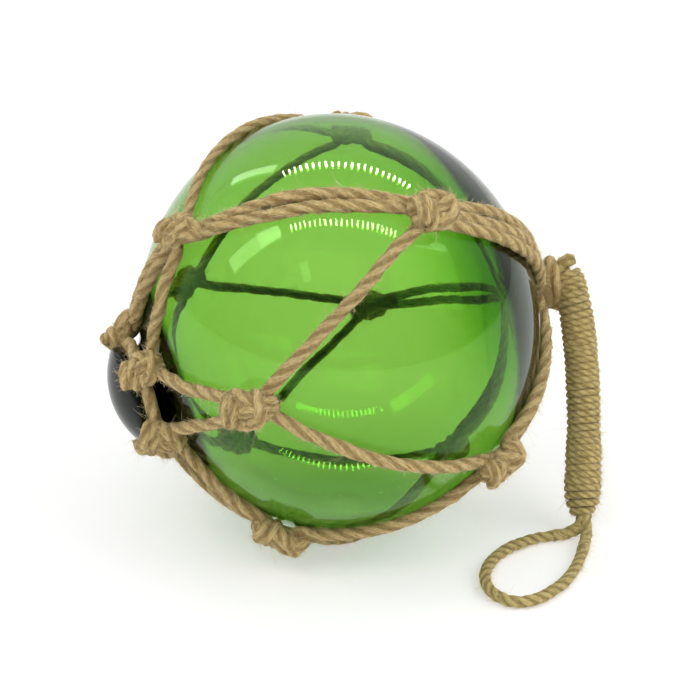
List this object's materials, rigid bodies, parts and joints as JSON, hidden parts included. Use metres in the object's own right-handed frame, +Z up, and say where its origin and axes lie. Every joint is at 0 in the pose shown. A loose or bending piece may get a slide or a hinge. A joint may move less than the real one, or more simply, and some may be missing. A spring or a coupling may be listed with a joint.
{
  "type": "glass float ball",
  "caption": "Blown green glass float with a sealed button, held in a knotted rope net with a whipped handle and hanging loop.",
  "frame": {"origin": "middle of the small resting flat under the glass ball", "axes": "+X towards the handle, along the floor under the ball's axis; +Y away from the loop; +Z up"},
  "size_m": [0.1766, 0.1683, 0.1498],
  "materials": {
    "green_glass": "clear bottle-green blown glass, darker where it is thick at the button",
    "net_rope": "laid jute rope with loose fibres",
    "whipping_cord": "close-wound jute twine"
  },
  "bodies": {
    "root": {"glass_float": "green_glass", "net_crown_knot": "net_rope", "net_cords_crown_1": "net_rope", "net_cords_crown_2": "net_rope", "net_cords_crown_3": "net_rope", "net_cords_crown_4": "net_rope", "net_cords_crown_5": "net_rope", "net_knot_handle_row_1": "net_rope", "net_knot_handle_row_2": "net_rope", "net_knot_handle_row_3": "net_rope", "net_knot_handle_row_4": "net_rope", "net_knot_handle_row_5": "net_rope", "net_cord_onward_1": "net_rope", "net_cord_onward_2": "net_rope", "net_cord_onward_3": "net_rope", "net_cord_onward_4": "net_rope", "net_cord_onward_5": "net_rope", "net_cord_back_1": "net_rope", "net_cord_back_2": "net_rope", "net_cord_back_3": "net_rope", "net_cord_back_4": "net_rope", "net_cord_back_5": "net_rope", "net_knot_seal_row_1": "net_rope", "net_knot_seal_row_2": "net_rope", "net_knot_seal_row_3": "net_rope", "net_knot_seal_row_4": "net_rope", "net_knot_seal_row_5": "net_rope", "net_seal_cord_onward_1": "net_rope", "net_seal_cord_onward_2": "net_rope", "net_seal_cord_onward_3": "net_rope", "net_seal_cord_onward_4": "net_rope", "net_seal_cord_onward_5": "net_rope", "net_seal_cord_back_1": "net_rope", "net_seal_cord_back_2": "net_rope", "net_seal_cord_back_3": "net_rope", "net_seal_cord_back_4": "net_rope", "net_seal_cord_back_5": "net_rope", "net_knot_ring_1": "net_rope", "net_knot_ring_2": "net_rope", "net_knot_ring_3": "net_rope", "net_knot_ring_4": "net_rope", "net_knot_ring_5": "net_rope", "net_ring_cord_1": "net_rope", "net_ring_cord_2": "net_rope", "net_ring_cord_3": "net_rope", "net_ring_cord_4": "net_rope", "net_ring_cord_5": "net_rope", "whipped_handle": "whipping_cord", "hanging_loop": "whipping_cord"}
  },
  "joints": []
}
